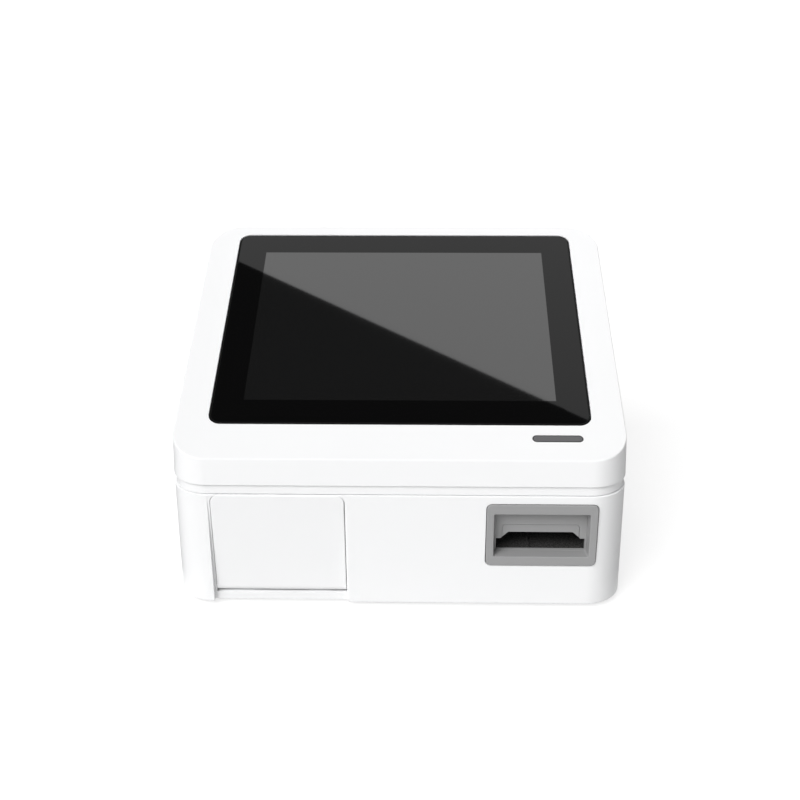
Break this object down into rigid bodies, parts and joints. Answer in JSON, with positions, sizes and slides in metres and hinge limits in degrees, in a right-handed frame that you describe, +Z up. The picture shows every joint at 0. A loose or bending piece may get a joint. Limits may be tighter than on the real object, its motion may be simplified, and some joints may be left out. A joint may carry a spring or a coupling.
{
  "type": "blood gas analyzer",
  "caption": "Bench-top blood gas analyzer with a slanted touch display, a receipt printer behind a hinged door and a slot for test cartridges.",
  "frame": {"origin": "below the middle of the case, on the surface that the feet stand on", "axes": "+X to the right seen from the front, +Y to the back, +Z up; the display and the slot face -Y"},
  "size_m": [0.2328, 0.1776, 0.1555],
  "materials": {
    "white_plastic": "fine satin, white",
    "light_grey_plastic": "satin, light grey",
    "slot_grey_plastic": "matt, middle grey",
    "black_plastic": "matt black, fine grain",
    "smoke_lens": "translucent smoke grey",
    "black_glass": "black printed glass, gloss",
    "display_black": "dark display, switched off",
    "steel": "bright steel",
    "aluminium": "milled aluminium",
    "brass": "gold-plated or bare brass",
    "rubber": "matt black rubber",
    "paper": "smooth thermal paper",
    "card": "brown card or polyimide film",
    "circuit_board": "green solder mask",
    "battery_wrap": "blue heat-shrink film",
    "gear_plastic": "natural acetal"
  },
  "bodies": {
    "chassis": {"lower_shell": "white_plastic", "mid_frame": "white_plastic", "top_cover": "white_plastic", "cover_glass": "black_glass", "display_panel": "display_black", "display_bracket": "steel", "display_ribbon": "card", "status_light": "smoke_lens", "status_light_board": "circuit_board", "door_hinge_pin": "steel", "feed_motor": "steel", "paper_bucket": "black_plastic", "print_head": "aluminium", "slot_bezel": "slot_grey_plastic", "cartridge_guide": "black_plastic", "heater_plate": "aluminium", "clamp_frame": "aluminium", "contact_motor": "steel", "plunger_motor": "steel", "cartridge_switch": "black_plastic", "code_scanner": "black_plastic", "main_board": "circuit_board", "heat_sink": "aluminium", "power_board": "circuit_board", "battery_cover": "light_grey_plastic", "battery_pack": "battery_wrap", "speaker": "black_plastic", "fan_frame": "black_plastic", "rear_panel": "light_grey_plastic", "usb_port_1": "steel", "usb_port_2": "steel", "network_port": "steel", "power_inlet": "black_plastic", "power_switch_body": "black_plastic", "io_board": "circuit_board", "housing_screw_front_left": "steel", "housing_screw_front_right": "steel", "housing_screw_rear_left": "steel", "housing_screw_rear_right": "steel", "foot_front_left": "rubber", "foot_front_right": "rubber", "foot_rear_left": "rubber", "foot_rear_right": "rubber"},
    "door": {"printer_door": "white_plastic"},
    "platen": {"platen_roller": "rubber", "platen_gear": "gear_plastic"},
    "idler": {"idler_gear": "gear_plastic"},
    "pinion": {"motor_pinion": "brass"},
    "paper": {"paper_roll": "paper", "roll_core": "card"},
    "contact_carriage": {"contact_head": "light_grey_plastic", "contact_strip": "brass"},
    "contact_screw": {"contact_lead_screw": "steel"},
    "plunger_carriage": {"pouch_plunger": "light_grey_plastic"},
    "plunger_screw": {"plunger_lead_screw": "steel"},
    "lever": {"switch_lever": "steel"},
    "fan": {"fan_rotor": "black_plastic"},
    "rocker": {"power_rocker": "black_plastic"}
  },
  "joints": [
    {"name": "door_hinge", "type": "hinge", "parent": "chassis", "child": "door", "pos_m": [0, -0.08225, 0.01064], "axis": [1, 0, 0], "range_deg": [0, 85]},
    {"name": "paper_roll_spin", "type": "hinge", "parent": "chassis", "child": "paper", "pos_m": [-0.063, -0.0503, 0.0273], "axis": [1, 0, 0], "continuous": true},
    {"name": "platen_spin", "type": "hinge", "parent": "door", "child": "platen", "pos_m": [-0.063, -0.07811, 0.05886], "axis": [1, 0, 0], "continuous": true},
    {"name": "idler_spin", "type": "hinge", "parent": "chassis", "child": "idler", "pos_m": [-0.0319, -0.06772, 0.05286], "axis": [1, 0, 0], "continuous": true},
    {"name": "pinion_spin", "type": "hinge", "parent": "chassis", "child": "pinion", "pos_m": [-0.0319, -0.05757, 0.05656], "axis": [1, 0, 0], "continuous": true},
    {"name": "contact_slide", "type": "slide", "parent": "chassis", "child": "contact_carriage", "axis": [0, 0, -1], "range_m": [0, 0.0025]},
    {"name": "contact_screw_spin", "type": "hinge", "parent": "chassis", "child": "contact_screw", "pos_m": [0.0727, -0.0324, 0.0474], "axis": [0, 0, 1], "range_deg": [0, 451]},
    {"name": "plunger_slide", "type": "slide", "parent": "chassis", "child": "plunger_carriage", "axis": [0, 0, -1], "range_m": [0, 0.0035]},
    {"name": "plunger_screw_spin", "type": "hinge", "parent": "chassis", "child": "plunger_screw", "pos_m": [0.0727, -0.0594, 0.0474], "axis": [0, 0, 1], "range_deg": [0, 631]},
    {"name": "switch_lever_hinge", "type": "hinge", "parent": "chassis", "child": "lever", "pos_m": [0.0727, -0.0071, 0.038], "axis": [-1, 0, 0], "range_deg": [0, 12], "stiffness_Nm_per_rad": 0.001, "springref_deg": -5.73},
    {"name": "fan_spin", "type": "hinge", "parent": "chassis", "child": "fan", "pos_m": [-0.062, 0.08036, 0.1065], "axis": [0, 1, 0], "continuous": true},
    {"name": "power_rocker_hinge", "type": "hinge", "parent": "chassis", "child": "rocker", "pos_m": [-0.044, 0.083, 0.0305], "axis": [0, 0, 1], "range_deg": [0, 20]}
  ],
  "couplings": [
    {"joint": "platen_spin", "follows": "paper_roll_spin", "ratio": -4.2222},
    {"joint": "idler_spin", "follows": "paper_roll_spin", "ratio": 2.8148},
    {"joint": "pinion_spin", "follows": "paper_roll_spin", "ratio": -5.6296},
    {"joint": "contact_screw_spin", "follows": "contact_slide", "rad_per_m": 3141.6},
    {"joint": "plunger_screw_spin", "follows": "plunger_slide", "rad_per_m": 3141.6}
  ]
}
